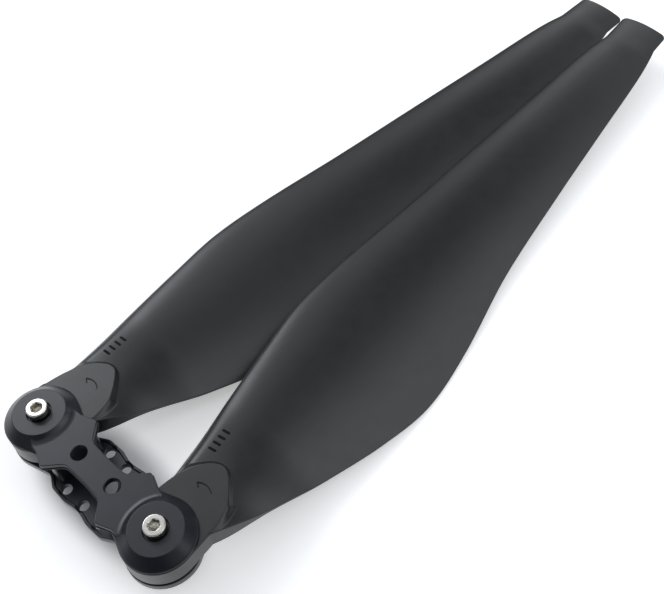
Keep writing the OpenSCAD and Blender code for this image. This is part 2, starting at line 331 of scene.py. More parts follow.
# ---- Materials ----
class Shader:
    """A Principled material with a few helpers. Lengths are in millimetres of the object's own space."""

    def __init__(self, name, colour, roughness, metallic=0.0, ior=1.5):
        self.material = bpy.data.materials.new(name)
        self.material.use_nodes = True
        self.tree = self.material.node_tree
        self.bsdf = self.tree.nodes["Principled BSDF"]
        self.set("Base Color", (*colour, 1))
        self.set("Roughness", roughness)
        self.set("Metallic", metallic)
        self.set("IOR", ior)
        self.place = self.add("ShaderNodeTexCoord").outputs["Object"]

    def set(self, socket, value):
        self.bsdf.inputs[socket].default_value = value

    def add(self, kind, **settings):
        node = self.tree.nodes.new(kind)
        for key, value in settings.items():
            setattr(node, key, value)
        return node

    def link(self, a, b):
        self.tree.links.new(a, b)

    def stretched(self, scale):
        """Object coordinates with a different scale along each axis, per millimetre."""
        node = self.add("ShaderNodeVectorMath", operation="MULTIPLY")
        self.link(self.place, node.inputs[0])
        node.inputs[1].default_value = [k / MM for k in scale]
        return node.outputs[0]

    def noise(self, size, detail=3.0, where=None):
        """Noise with features of about that size in millimetres, or along a vector of millimetres."""
        node = self.add("ShaderNodeTexNoise")
        node.inputs["Scale"].default_value = 1 / (size * MM) if where is None else 1.0
        node.inputs["Detail"].default_value = detail
        self.link(self.place if where is None else where, node.inputs["Vector"])
        return node.outputs["Fac"]

    def from_pivot(self):
        """Distance from the nearer pivot axis, in millimetres."""
        parts = self.add("ShaderNodeSeparateXYZ")
        self.link(self.place, parts.inputs[0])
        side = self.maths("ABSOLUTE", parts.outputs["X"])
        along = self.maths("SUBTRACT", side, PIVOT_X * MM)
        flat = self.add("ShaderNodeCombineXYZ")
        self.link(along, flat.inputs["X"])
        self.link(parts.outputs["Y"], flat.inputs["Y"])
        size = self.add("ShaderNodeVectorMath", operation="LENGTH")
        self.link(flat.outputs[0], size.inputs[0])
        return self.maths("MULTIPLY", size.outputs["Value"], 1 / MM)

    def maths(self, operation, a, b=0.0):
        node = self.add("ShaderNodeMath", operation=operation)
        for socket, value in zip(node.inputs, (a, b)):
            if isinstance(value, (int, float)):
                socket.default_value = value
            else:
                self.link(value, socket)
        return node.outputs[0]

    def ramp(self, fac, stops):
        """Colours or greys at positions along a factor."""
        node = self.add("ShaderNodeValToRGB")
        while len(node.color_ramp.elements) < len(stops):
            node.color_ramp.elements.new(0.5)
        for element, (at, value) in zip(node.color_ramp.elements, stops):
            element.position = at
            element.color = (*value, 1) if isinstance(value, tuple) else (value, value, value, 1)
        self.link(fac, node.inputs["Fac"])
        return node.outputs["Color"]

    def colour(self, fac, stops):
        self.link(self.ramp(fac, stops), self.bsdf.inputs["Base Color"])

    def roughness(self, fac, low, high):
        """Roughness between low and high along a factor."""
        node = self.add("ShaderNodeMapRange")
        self.link(fac, node.inputs["Value"])
        node.inputs["To Min"].default_value = low
        node.inputs["To Max"].default_value = high
        self.link(node.outputs[0], self.bsdf.inputs["Roughness"])

    def bump(self, *layers):
        """Bumps stacked from (height, depth in millimetres) layers."""
        normal = None
        for height, depth in layers:
            node = self.add("ShaderNodeBump")
            node.inputs["Strength"].default_value = 1.0
            node.inputs["Distance"].default_value = depth * MM
            self.link(height, node.inputs["Height"])
            if normal is not None:
                self.link(normal, node.inputs["Normal"])
            normal = node.outputs[0]
        self.link(normal, self.bsdf.inputs["Normal"])


def anodised_aluminium():
    """Bead-blasted and dyed black, with faint turning marks on the bosses."""
    made = Shader("anodised_aluminium", (0.007, 0.009, 0.014), 0.32, ior=1.5)
    blast = made.noise(0.22, 2)
    stain = made.noise(9, 3)
    made.colour(stain, [(0.3, (0.0055, 0.0072, 0.011)), (0.7, (0.009, 0.0112, 0.0165))])
    made.roughness(made.noise(3.5, 4), 0.27, 0.37)
    rings = made.add("ShaderNodeCombineXYZ")
    made.link(made.from_pivot(), rings.inputs["X"])
    turning = made.noise(0, 3, where=rings.outputs[0])
    turning.node.inputs["Scale"].default_value = 5.0
    made.bump((blast, 0.006), (turning, 0.008))
    return made.material


def blade_composite():
    """Fibre-filled nylon: finely grained, with faint flow marks along the blade."""
    made = Shader("blade_composite", (0.0135, 0.0145, 0.0145), 0.33)
    cloud = made.noise(38, 4)
    flow = made.noise(0, 3, where=made.stretched((0.55, 0.03, 0.55)))
    shade = made.maths("ADD", made.maths("MULTIPLY", cloud, 0.65), made.maths("MULTIPLY", flow, 0.35))
    made.colour(shade, [(0.32, (0.0105, 0.0118, 0.0120)), (0.52, (0.0135, 0.0147, 0.0147)),
                        (0.70, (0.0165, 0.0174, 0.0170))])
    made.roughness(made.noise(6, 5), 0.27, 0.37)
    made.bump((made.noise(0.28, 3), 0.014), (flow, 0.02))
    return made.material


def stainless_steel():
    """Bright turned steel, with painted shade: darker inside the hexagon sockets of the bolts."""
    made = Shader("stainless_steel", (0.62, 0.60, 0.56), 0.22, metallic=1.0)
    rings = made.add("ShaderNodeCombineXYZ")
    reach = made.from_pivot()
    made.link(reach, rings.inputs["X"])
    turning = made.noise(0, 2, where=rings.outputs[0])
    turning.node.inputs["Scale"].default_value = 9.0
    # painted shade: a mask of the inside of the hexagon socket, from the bolt's seat to just under the top of
    # its head
    parts = made.add("ShaderNodeSeparateXYZ")
    made.link(made.place, parts.inputs[0])
    height = made.maths("MULTIPLY", parts.outputs["Z"], 1 / MM)
    above = made.maths("GREATER_THAN", height, SEAT_Z)
    below = made.maths("LESS_THAN", height, HEAD_TOP - 0.28)
    inside = made.maths("LESS_THAN", reach, SOCKET_R)
    socket = made.maths("MULTIPLY", made.maths("MULTIPLY", above, below), inside)
    open_steel_colour = made.ramp(made.noise(2.5, 3), [(0.3, (0.53, 0.51, 0.465)), (0.7, (0.63, 0.61, 0.565))])
    # darker steel colour painted in the sockets as their shade
    socket_painted_shade = made.ramp(made.noise(0.8, 3), [(0.35, (0.24, 0.22, 0.18)), (0.7, (0.58, 0.55, 0.49))])
    mix = made.add("ShaderNodeMix", data_type="RGBA")
    made.link(socket, mix.inputs["Factor"])
    made.link(open_steel_colour, mix.inputs["A"])
    made.link(socket_painted_shade, mix.inputs["B"])
    made.link(mix.outputs["Result"], made.bsdf.inputs["Base Color"])
    made.roughness(made.noise(0.9, 3), 0.17, 0.30)
    made.bump((turning, 0.006), (made.noise(0.12, 2), 0.002))
    return made.material


def bearing_bronze():
    """Sintered bronze, finely pored."""
    made = Shader("bronze", (0.55, 0.37, 0.15), 0.38, metallic=1.0)
    pores = made.noise(0.18, 3)
    made.colour(made.noise(2.2, 3), [(0.3, (0.46, 0.30, 0.12)), (0.7, (0.60, 0.41, 0.18))])
    made.roughness(pores, 0.30, 0.48)
    made.bump((pores, 0.01))
    return made.material


def nylon(name, dark, light):
    made = Shader(name, light, 0.5)
    made.colour(made.noise(2.0, 3), [(0.3, dark), (0.7, light)])
    made.roughness(made.noise(1.2, 3), 0.42, 0.58)
    made.bump((made.noise(0.15, 2), 0.006))
    return made.material


def marking_ink(name, dark, light, gloss):
    """Darker face of a moulded mark."""
    made = Shader(name, light, 0.6)
    made.set("Specular IOR Level", gloss)
    made.colour(made.noise(0.6, 2), [(0.3, dark), (0.7, light)])
    made.bump((made.noise(0.2, 2), 0.006))
    return made.material


MATERIALS = {
    "anodised_aluminium": anodised_aluminium(),
    "blade_composite": blade_composite(),
    "stainless_steel": stainless_steel(),
    "bronze": bearing_bronze(),
    "dark_nylon": nylon("dark_nylon", (0.016, 0.016, 0.017), (0.026, 0.026, 0.027)),
    "white_nylon": nylon("white_nylon", (0.66, 0.66, 0.61), (0.76, 0.76, 0.71)),
}
BAR_INK = marking_ink("moulded_bars", (0.0025, 0.0025, 0.003), (0.004, 0.004, 0.0045), 0.12)
ARROW_INK = marking_ink("moulded_arrow", (0.005, 0.005, 0.0055), (0.007, 0.007, 0.0075), 0.3)


# ---- Clamp plates ----
def four_fold(quarter):
    """Outline of both halves from a quarter's (x, y, corner radius) points."""
    top = quarter[::-1] + [(-x, y, r) for x, y, r in quarter[1:]]
    return rounded(top + [(x, -y, r) for x, y, r in reversed(top)])


# Quarter outlines from the middle outwards: place and corner radius
LOWER_QUARTER = [(0, 13.2, 14), (7, 14.6, 6), (15, 14.3, 4), (20.5, 11.2, 4), (32.5, 14.6, 0)]
UPPER_QUARTER = [(0, 6.1, 0), (10.4, 6.5, 5), (16.8, 13.5, 1.2), (23.4, 10.9, 3), (26.8, 10.6, 1), (31, 7, 0)]


def lower_outline():
    """The waist's outline with the round end about each pivot."""
    x, y, _ = LOWER_QUARTER[-1]
    first = math.atan2(y, x - PIVOT_X)
    steps = 40
    end = []
    for k in range(1, steps):
        a = first - 2 * first * k / steps
        end.append((PIVOT_X + LOWER_END_R * math.cos(a), LOWER_END_R * math.sin(a), 0))
    top = LOWER_QUARTER[::-1] + [(-x, y, r) for x, y, r in LOWER_QUARTER[1:]]
    left = [(-x, y, r) for x, y, r in end]
    bottom = [(x, -y, r) for x, y, r in reversed(top)]
    return rounded(top + left + bottom + end[::-1])


def pocket_cutter():
    """The pocket's outline stops at the posts; its wall leans out a little and its corner is rounded."""
    stop = POST_X[1] + 1.0
    outline = grown(four_fold(LOWER_QUARTER), -RIM_W)
    outline = outline[np.abs(outline[:, 0]) <= stop]
    floor = LOWER_TOP - POCKET_DEPTH
    rings = [level(grown(outline, -0.35), floor), level(grown(outline, -0.1), floor + 0.12),
             level(outline, floor + 0.4), level(outline, LOWER_TOP - 0.15),
             level(grown(outline, 0.6), LOWER_TOP + 0.45), level(grown(outline, 0.6), LOWER_TOP + 1)]
    return solid(rings)


def post(sign):
    """One of the two posts between the plates."""
    x0, x1 = sorted((sign * POST_X[0], sign * POST_X[1]))
    outline = rounded([(x0, -POST_Y, 1.2), (x1, -POST_Y, 1.2), (x1, POST_Y, 1.2), (x0, POST_Y, 1.2)])
    return slab(outline, 1.0, UPPER_Z, top=0.15)


def hexagon_cutter(across, z0, z1, x, mouth=0.2):
    """Cutter for a hexagonal pocket that opens downwards."""
    flats = [circle((across / 2 + g) / math.cos(math.pi / 6), z, x, n=6)
             for g, z in ((mouth + 1, z0 - 1), (0, z0 + mouth), (0, z1))]
    return solid(flats)


def lower_clamp_plate():
    outline = subdivided(lower_outline())
    obj = mesh_object("lower_plate", *slab(outline, 0, LOWER_TOP, top=0.35, bottom=0.35))
    combine(obj, pocket_cutter(), "DIFFERENCE")
    for sign in SIDES.values():
        combine(obj, post(sign), "UNION")
    floor = LOWER_TOP - POCKET_DEPTH
    combine(obj, drill(PILOT_R, 0, floor, mouth=0.3, n=96), "DIFFERENCE")
    for k in range(4):
        for radius, turn in ((INNER_R, math.radians(90 * k)), (OUTER_R, math.radians(90 * k) + math.pi / 4)):
            x, y = radius * math.cos(turn), radius * math.sin(turn)
            combine(obj, drill(SCREW_HOLE_R, 0, floor, x, y), "DIFFERENCE")
    for sign in SIDES.values():
        x = sign * PIVOT_X
        combine(obj, drill(BOLT_BORE_R, 0, LOWER_TOP, x), "DIFFERENCE")
        combine(obj, hexagon_cutter(NUT_POCKET, 0, NUT_HIGH, x), "DIFFERENCE")
        for y in (-PLATE_SCREW[1], PLATE_SCREW[1]):
            head = turned([(PLATE_SCREW_HEAD_R + 1.27, -1, 0), (PLATE_SCREW_HEAD_R + 0.07, 0.2, 0),
                           (PLATE_SCREW_HEAD_R + 0.07, 2, 0)], sign * PLATE_SCREW[0], y, n=64)
            combine(obj, head, "DIFFERENCE")
    finish_mesh(obj, MATERIALS["anodised_aluminium"], "hub", ["lower_clamp_plate"])


def boss_profile(foot):
    """(radius, height) from the counterbore's mouth outwards: down the boss and its blend onto the bar,
    and down the bare cone to a foot of that radius."""
    lean = (foot - BOSS_TOP_R) / (BOSS_TOP - LIP_Z)
    bar_foot = BOSS_TOP_R + (BOSS_TOP - BAR_TOP) * lean
    start = (COUNTERBORE_R + MOUTH, BOSS_TOP, 0)
    edge = (BOSS_TOP_R, BOSS_TOP, 0.45)
    onto_bar = rounded([start, edge, (bar_foot, BAR_TOP, BLEND_R), (80, BAR_TOP, 0)], False, BLEND_STEPS)
    cone = rounded([start, edge, (foot, LIP_Z, 0)], False, BLEND_STEPS)
    return onto_bar, cone


def foot_radius(angle):
    """The boss's foot is round, and runs out in a straight line to the notch on each side of the bar."""
    notch = math.atan2(NOTCH[1], NOTCH[0] - PIVOT_X)
    tangent = notch - math.acos(BOSS_R / math.hypot(NOTCH[0] - PIVOT_X, NOTCH[1]))
    turn = abs((angle + math.pi) % (2 * math.pi) - math.pi)
    straight = BOSS_R / math.cos(min(max(turn - tangent, 0), notch - tangent))
    fade = min(1, (math.pi - turn) / (math.pi - notch))
    return BOSS_R + (straight - BOSS_R) * fade


def bar_columns():
    """Places round one pivot, as (angle, outline point of the bar, its outward direction), all seen from
    the pivot. Where the bar doesn't show there is no point and no direction."""
    corners = rounded(UPPER_QUARTER[::-1], closed=False)
    pieces = []
    for p, q in zip(corners, corners[1:]):
        steps = max(1, math.ceil(np.linalg.norm(q - p)))
        pieces.append(np.linspace(p, q, steps + 1)[:-1])
    edge = np.concatenate(pieces + [corners[-1:]])
    run = np.gradient(edge, axis=0)
    run /= np.linalg.norm(run, axis=1)[:, None]
    out = np.column_stack([-run[:, 1], run[:, 0]])
    out *= -1 if out[-1, 1] < 0 else 1
    out[-1] = (0, 1)
    edge = edge - (PIVOT_X, 0)
    columns = []
    for point, away in zip(edge, out):
        angle = math.atan2(point[1], point[0])
        onto_bar, _ = boss_profile(foot_radius(angle))
        if math.hypot(*point) > onto_bar[BLEND_STEPS + 2][0] + 0.02:
            columns.append((angle, point, away))
    first = columns[0][0]
    middle = [(math.atan2(y, -PIVOT_X) % (2 * math.pi), np.array([-PIVOT_X, y]), np.zeros(2))
              for y in np.linspace(edge[-1][1], -edge[-1][1], 11)[1:-1]]
    mirrored = [(2 * math.pi - a, p * (1, -1), w * (1, -1)) for a, p, w in columns[::-1]]
    round_steps = 110
    bare = [(first + (k / round_steps - 1) * 2 * first, None, None) for k in range(1, round_steps)]
    return bare + columns + middle + mirrored


def along_profile(profile, place):
    """Height of a (radius, height) profile under a place seen from the pivot."""
    return float(np.interp(math.hypot(*place), profile[:, 0], profile[:, 1]))


def upper_half():
    """Points and faces of the plate from the middle to the right-hand end, open at the middle."""
    slope_steps, edge_steps, under_steps, foot_steps = 6, 4, 4, 3
    columns = []
    for angle, point, away in bar_columns():
        onto_bar, cone = boss_profile(foot_radius(angle))
        ray = np.array([math.cos(angle), math.sin(angle)])
        start_r, end_r = onto_bar[BLEND_STEPS + 2][0], onto_bar[2 * BLEND_STEPS + 2][0]
        foot = ray * foot_radius(angle)
        if point is None:
            point, away, ease, brim = ray * start_r, ray * 0, 0.0, foot
            brim_in, under_in = foot - ray * FOOT_EDGE, foot - ray * FOOT_EDGE
        else:
            ease = min(BAR_EDGE, 0.4 * (math.hypot(*point) - start_r))
            brim = point + away * LIP
            brim_in = under_in = brim - away * FOOT_EDGE
            if math.hypot(*foot) > math.hypot(*brim) and away.any():
                brim, brim_in, under_in = foot, foot - ray * FOOT_EDGE, foot - ray * FOOT_EDGE
        inner = point - away * ease
        made = [(ray * BOLT_BORE_R, UPPER_Z), (ray * BOLT_BORE_R, SEAT_Z), (ray * COUNTERBORE_R, SEAT_Z),
                (ray * COUNTERBORE_R, BOSS_TOP - MOUTH)]
        made += [(ray * r, z) for r, z in onto_bar[:BLEND_STEPS + 2]]
        limit = math.hypot(*inner)
        last = ray * end_r if limit > end_r else inner
        for r, _ in onto_bar[BLEND_STEPS + 2:2 * BLEND_STEPS + 3]:
            share = (r - start_r) / (end_r - start_r)
            at = ray * start_r + (last - ray * start_r) * share
            made.append((at, along_profile(onto_bar, at)))
        for k in range(1, slope_steps + 1):
            at = last + (inner - last) * k / slope_steps
            made.append((at, along_profile(onto_bar, at)))
        top, low = along_profile(onto_bar, inner), max(LIP_Z, along_profile(cone, point))
        drop = min(ease, max(0.0, top - low))
        for k in range(1, edge_steps + 1):
            turn = math.pi / 2 * k / edge_steps
            made.append((inner + (point - inner) * math.sin(turn), top - drop * (1 - math.cos(turn))))
        made.append((point, low))
        for k in range(1, under_steps + 1):
            at = point + (brim_in - point) * k / under_steps
            made.append((at, max(LIP_Z, along_profile(cone, at))))
        for k in range(1, foot_steps + 1):
            turn = math.pi / 2 * k / foot_steps
            at = brim_in + (brim - brim_in) * math.sin(turn)
            made.append((at, LIP_Z - FOOT_EDGE * (1 - math.cos(turn))))
        made += [(brim, UPPER_Z + FOOT_EDGE), (under_in, UPPER_Z)]
        columns.append([(x + PIVOT_X, y, z) for (x, y), z in made])
    rings = np.array(columns).transpose(1, 0, 2)
    points, faces = solid(list(rings), loop=True)
    faces = [f for f in faces if max(abs(points[i][0]) for i in f) > 1e-6]
    return points, faces


def upper_clamp_plate():
    points, faces = upper_half()
    half = len(points)
    both = np.concatenate([points, points * (-1, -1, 1)])
    faces += [tuple(i + half for i in f) for f in faces]
    obj = mesh_object("upper_plate", both, faces)
    weld(obj)
    for sign in SIDES.values():
        combine(obj, drill(ACCESS_R, UPPER_Z, BAR_TOP, sign * INNER_R, mouth=0.3, n=96), "DIFFERENCE")
    finish_mesh(obj, MATERIALS["anodised_aluminium"], "hub", ["upper_clamp_plate"])


# ---- Blades ----
def curve(at, value, slope, x):
    """Smooth curve through values at places, with a slope at each."""
    i = np.clip(np.searchsorted(at, x, side="right") - 1, 0, len(at) - 2)
    h = at[i + 1] - at[i]
    u = (x - at[i]) / h
    return (value[i] * (1 + 2 * u) * (1 - u) ** 2 + value[i + 1] * u * u * (3 - 2 * u)
            + slope[i] * h * u * (1 - u) ** 2 - slope[i + 1] * h * u * u * (1 - u))


def along(part, column):
    """Smooth curve through one column of the stations."""
    table = np.array(STATIONS)
    at, value = table[:, 0], table[:, column]
    low = np.maximum(np.arange(len(at)) - 1, 0)
    high = np.minimum(np.arange(len(at)) + 1, len(at) - 1)
    return curve(at, value, (value[high] - value[low]) / (at[high] - at[low]), part)


def lead(s):
    """Distance of the leading edge from the blade's line."""
    return np.maximum(EYE_R - 0.035 * np.clip(s, 0, 40), along(s / BLADE_LEN, LEAD))


def trail(s):
    """Distance of the trailing edge from the blade's line."""
    return np.maximum(EYE_R, along(s / BLADE_LEN, TRAIL))


def twist_slope(s):
    """Fall of the blade from the leading edge, per unit of chord."""
    angle = np.arctan(BLADE_PITCH / (2 * math.pi * (s + PIVOT_X))) * (1 - np.exp(-s / TWIST_S))
    return np.tan(angle)


def aerofoil(s, t, side):
    """Height of the upper (side 1) or lower (side -1) surface at s along and t across the blade."""
    part = s / BLADE_LEN
    chord = lead(s) + trail(s)
    back = np.clip(t + lead(s), 0, chord)
    x = back / chord
    thick = along(part, THICK)
    # the usual four-digit thickness form
    shape = 0.2969 * np.sqrt(x) - 0.126 * x - 0.3516 * x ** 2 + 0.2843 * x ** 3 - 0.1015 * x ** 4
    half = np.hypot(5 * thick * shape, 0.3 * (1 - x)) + EDGE_T / 2 * x
    rise = 4 * CAMBER * chord * np.clip(s / CAMBER_S, 0, 1) * x * (1 - x)
    nose = along(part, HEIGHT)
    section = nose - back * twist_slope(s) + rise + side * half
    bulge = np.sqrt(1 - (1 - np.clip(back / ROOT_NOSE, 0, 1)) ** 2)
    fall = ROOT_FALL * np.clip((x - 0.45) / 0.55, 0, 1) ** 1.8 * smooth((s - FALL_RUN[0]) / FALL_RUN[1])
    root = nose + (ROOT_TOP - nose) * bulge - fall
    if side < 0:
        root = nose + (EYE_Z0 - nose) * bulge + 0.3 * fall
    share = 1 - smooth((s - ROOT_FADE[0]) / ROOT_FADE[1])
    return root * share + section * (1 - share)


def pad_edge(x):
    """Distance of the pad's edge from the pivot, at a part of the chord."""
    table = np.array(PAD_EDGE)
    at, value = table[:, 0], table[:, 1]
    return curve(at, value, np.gradient(value, at), x)


def smooth(u):
    u = np.clip(u, 0, 1)
    return u * u * (3 - 2 * u)


def blade_sheet():
    """Plan of the blade as a grid: rows from the far side of the eye to the tip, columns across.
    Returns the plan points, the share of pad in the top, the share of eye below, and the edge radius."""
    columns, eye_rows, step_rows, body_rows, corner_rows = 84, 46, 12, 210, 10
    q = np.arange(columns + 1) / columns
    x = (1 - np.cos(math.pi * q)) / 2
    edge = pad_edge(x)

    def across(s, inset):
        s = np.broadcast_to(s, x.shape)
        inset = inset + PLAN_INSET
        return -lead(s) + inset + x * (lead(s) + trail(s) - 2 * inset)

    rows, pad, eye, edge_r = [], [], [], []
    back = np.stack([(EYE_R - PAD_EDGE_R) * (2 * x - 1), -(EYE_R - PAD_EDGE_R) * np.sin(math.pi * q)], 1)
    pad_side = np.stack([across(edge, PAD_EDGE_R), edge], 1)
    for a in np.linspace(0, 1, eye_rows):
        rows.append(back + (pad_side - back) * a)
        pad.append(np.ones_like(x))
        edge_r.append(PAD_EDGE_R)
    run = np.gradient(edge, pad_side[:, 0])
    foot = edge + PAD_STEP * np.minimum(3.2, np.sqrt(1 + run ** 2))
    for b in np.linspace(0, 1, step_rows)[1:]:
        inset = PAD_EDGE_R + (THIN_EDGE_R - PAD_EDGE_R) * smooth(b)
        s = edge + (foot - edge) * b
        rows.append(np.stack([across(s, inset), s], 1))
        pad.append(np.full_like(x, 1 - smooth(b)))
        edge_r.append(inset)
    tip = BLADE_LEN - TIP_EDGE_R - TIP_SKEW * (1 - x)
    reach = BLADE_LEN - foot.min()
    from_tip = [reach * (1 - (c / body_rows) ** 1.25) for c in range(1, body_rows)]
    from_tip = [d for d in from_tip if d > TIP_CORNER * 1.3]
    from_tip += [TIP_CORNER * (1 - math.sin(math.pi / 2 * k / corner_rows)) for k in range(corner_rows + 1)]
    for d in from_tip:
        s = tip - (tip - foot) * d / reach
        shrink = TIP_CORNER - math.sqrt(max(0, TIP_CORNER ** 2 - max(0, TIP_CORNER - d) ** 2))
        rows.append(np.stack([across(s, THIN_EDGE_R + shrink), s], 1))
        pad.append(np.zeros_like(x))
        edge_r.append(THIN_EDGE_R)
    rows = np.array(rows)
    eye = 1 - smooth((rows[:, :, 1] - edge + 7) / 11)
    return rows, np.array(pad), eye, np.array(edge_r)


def blade_skin():
    """Points and faces of one blade in its own frame: +Y along the blade, trailing edge on +X."""
    plan, pad, eye, edge_r = blade_sheet()
    t, s = plan[:, :, 0], plan[:, :, 1]
    reach = np.maximum(s, 0.02 * BLADE_LEN)
    top = pad * EYE_Z1 + (1 - pad) * aerofoil(reach, t, 1)
    low = eye * EYE_Z0 + (1 - eye) * aerofoil(reach, t, -1)
    low = np.minimum(low, top - 0.25)
    rows, columns = t.shape
    sheet = rows * columns
    points = [np.stack([t, s, z], 2).reshape(-1, 3) for z in (top, low)]
    faces = []
    for i in range(rows - 1):
        for j in range(columns - 1):
            a = i * columns + j
            b = a + columns
            faces.append((a, a + 1, b + 1, b))
            faces.append((sheet + a, sheet + b, sheet + b + 1, sheet + a + 1))
    rim = ([(0, j) for j in range(columns)] + [(i, columns - 1) for i in range(1, rows)]
           + [(rows - 1, j) for j in range(columns - 2, -1, -1)] + [(i, 0) for i in range(rows - 2, 0, -1)])
    i, j = np.array(rim).T
    outline = plan[i, j]
    radius = edge_r[i]
    moved = grown(outline, 1.0) - outline
    out = moved / np.linalg.norm(moved, axis=1)[:, None]
    z_top, z_low = top[i, j], low[i, j]
    drop = np.minimum(radius, 0.46 * (z_top - z_low))
    band = []
    steps = 4
    for k in range(1, 2 * steps + 1):
        upper = k <= steps
        a = math.pi / 2 * (k if upper else k - 1) / steps
        z = z_top - drop * (1 - math.cos(a)) if upper else z_low + drop * (1 + math.cos(a))
        band.append(np.column_stack([outline + out * (radius * math.sin(a))[:, None], z]))
    first = 2 * sheet
    n = len(rim)
    index = i * columns + j
    loops = [index] + [first + k * n + np.arange(n) for k in range(len(band))] + [index + sheet]
    for above, below in zip(loops, loops[1:]):
        for k in range(n):
            m = (k + 1) % n
            faces.append((int(above[k]), int(below[k]), int(below[m]), int(above[m])))
    return np.concatenate(points + band), faces


def turn_to(side, points):
    """From a blade's own frame to its folded place."""
    a = math.radians(LEAN[side])
    x = points[:, 0] * math.cos(a) - points[:, 1] * math.sin(a) + SIDES[side] * PIVOT_X
    y = points[:, 0] * math.sin(a) + points[:, 1] * math.cos(a)
    return np.column_stack([x, y, points[:, 2]])


def blades():
    points, faces = blade_skin()
    for side, sign in SIDES.items():
        obj = mesh_object(f"blade_skin_{side}", turn_to(side, points), faces)
        bore = turned([(BORE_R + 1.2, EYE_Z0 - 1, 0), (BORE_R, EYE_Z0 + 0.2, 0), (BORE_R, EYE_Z1 - 0.2, 0),
                       (BORE_R + 1.2, EYE_Z1 + 1, 0)], sign * PIVOT_X, n=96)
        combine(obj, bore, "DIFFERENCE")
        finish_mesh(obj, MATERIALS["blade_composite"], f"blade_{side}", [f"blade_{side}"])


def mark_surface(s, t):
    """Height of the blade's top, with its raised pad, at s along and t across."""
    x = (t + lead(s)) / (lead(s) + trail(s))
    return np.where(s < pad_edge(np.clip(x, 0, 1)), EYE_Z1, aerofoil(s, t, 1))


def ridge(line, widths, proud=0.12, sunk=0.25):
    """Low rounded ridge along a (t, s) line on the blade's top, closed underneath."""
    line = np.array(line, float)
    step = np.gradient(line, axis=0)
    step /= np.linalg.norm(step, axis=1)[:, None]
    across = np.stack([-step[:, 1], step[:, 0]], 1)
    half = np.asarray(widths, float) / 2
    rings = []
    for offset, lift in ((-1, -sunk), (-1, 0.3 * proud), (-0.8, 0.85 * proud), (-0.4, proud), (0.4, proud),
                         (0.8, 0.85 * proud), (1, 0.3 * proud), (1, -sunk)):
        at = line + across * (half * offset)[:, None]
        rings.append(np.column_stack([at, mark_surface(at[:, 1], at[:, 0]) + lift]))
    stations = np.array(rings).transpose(1, 0, 2)
    return solid(list(stations))


def pill(middle, turn, length, width):
    """Centre line and widths of a short bar with round ends."""
    u = np.linspace(-1, 1, 15)
    reach = length / 2 * np.sin(u * math.pi / 2)
    line = np.column_stack([middle[0] + reach * math.cos(turn), middle[1] + reach * math.sin(turn)])
    room = np.clip((length / 2 - np.abs(reach)) / (width / 2), 0.02, 1)
    return line, width * np.sqrt(1 - (1 - room) ** 2)


def arrow():
    """Rotation arrow: a curved shaft, and a head that points to the leading edge."""
    n = 24
    u = np.linspace(0, 1, n)
    shaft = np.column_stack([ARROW_T[0] + (ARROW_T[1] - ARROW_T[0]) * u,
                             ARROW_S + ARROW_BOW * np.sin(math.pi * u)])
    parts = [(shaft, np.linspace(0.75, 0.4, n))]
    for sign in (-1, 1):
        barb = np.column_stack([ARROW_T[0] + 1.9 * u, ARROW_S + sign * 1.2 * u])
        parts.append((barb, np.full(n, 0.55)))
    return parts


def blade_marks():
    """Four bars and an arrow on each blade, in place of its moulded label."""
    bars = []
    for k in range(MARK_BARS):
        s = MARK_S[0] + (MARK_S[1] - MARK_S[0]) * k / (MARK_BARS - 1)
        t = MARK_T[0] + (MARK_T[1] - MARK_T[0]) * k / (MARK_BARS - 1)
        bars.append(pill((t, s), MARK_TURN, MARK_LEN, MARK_W))
    for name, lines, ink in (("blade_bars", bars, BAR_INK), ("blade_arrow", arrow(), ARROW_INK)):
        points, faces = [], []
        for line, widths in lines:
            made, sides = ridge(line, widths)
            faces += [tuple(i + len(points) for i in f) for f in sides]
            points += made.tolist()
        for side in SIDES:
            obj = mesh_object(f"{name}_{side}", turn_to(side, np.array(points)), faces)
            finish_mesh(obj, ink, f"blade_{side}", [])


# ---- Fasteners ----
def socket_head(x):
    """Rings of a bolt's head, from its underside to the bottom of the hexagon socket."""
    n = 96
    a = np.arange(n) * 2 * math.pi / n
    sector = (a + math.pi / 6) % (math.pi / 3) - math.pi / 6
    hexagon = HEX_KEY / 2 / np.cos(sector)
    mouth = HEX_KEY / 2 / math.cos(math.pi / 6) + 0.1

    def ring(radius, down):
        radius = np.broadcast_to(radius, a.shape)
        return np.column_stack([x + radius * np.cos(a), radius * np.sin(a), np.full(n, HEAD_TOP - down)])

    rings = [ring(HEAD_R - 0.15, HEAD_H), ring(HEAD_R, HEAD_H - 0.15), ring(HEAD_R, HEAD_EDGE)]
    for k in range(1, 6):
        turn = math.pi / 2 * k / 5
        rings.append(ring(HEAD_R - HEAD_EDGE * (1 - math.cos(turn)), HEAD_EDGE * (1 - math.sin(turn))))
    rings += [ring(mouth + 0.12, 0), ring(mouth, 0.03)]
    rings += [ring(np.minimum(hexagon, mouth - 0.1), 0.25), ring(hexagon, 0.4), ring(hexagon, KEY_DEPTH)]
    rings += [ring(hexagon * 0.96, KEY_DEPTH + 0.02), ring(HEX_KEY * 0.3, KEY_DEPTH + 0.12),
              ring(0.05, KEY_DEPTH + 0.7)]
    return rings


def threaded_rod(x, z_end, z_top, radius, pitch, z_plain, n=48):
    """Rings of a screw thread that fades out towards the plain shank."""
    rows = int((z_plain - z_end) / pitch * 10)
    a = np.arange(n) * 2 * math.pi / n
    rings = []
    for i in range(rows + 1):
        z = z_end + (z_plain - z_end) * i / rows
        wave = np.abs(((z / pitch - a / (2 * math.pi)) % 1) * 2 - 1)
        fade = min(1, (z_plain - z) / pitch) * min(1, 0.35 + (z - z_end) / pitch)
        depth = 0.6 * pitch * np.clip(wave * 1.25 - 0.12, 0, 1) * fade
        chamfer = max(0.0, 0.7 - (z - z_end))
        r = np.minimum(radius - depth, radius - chamfer * 0.8)
        rings.append(np.column_stack([x + r * np.cos(a), r * np.sin(a), np.full(n, z)]))
    return rings + [circle(radius, z_top, x, 0, n)]


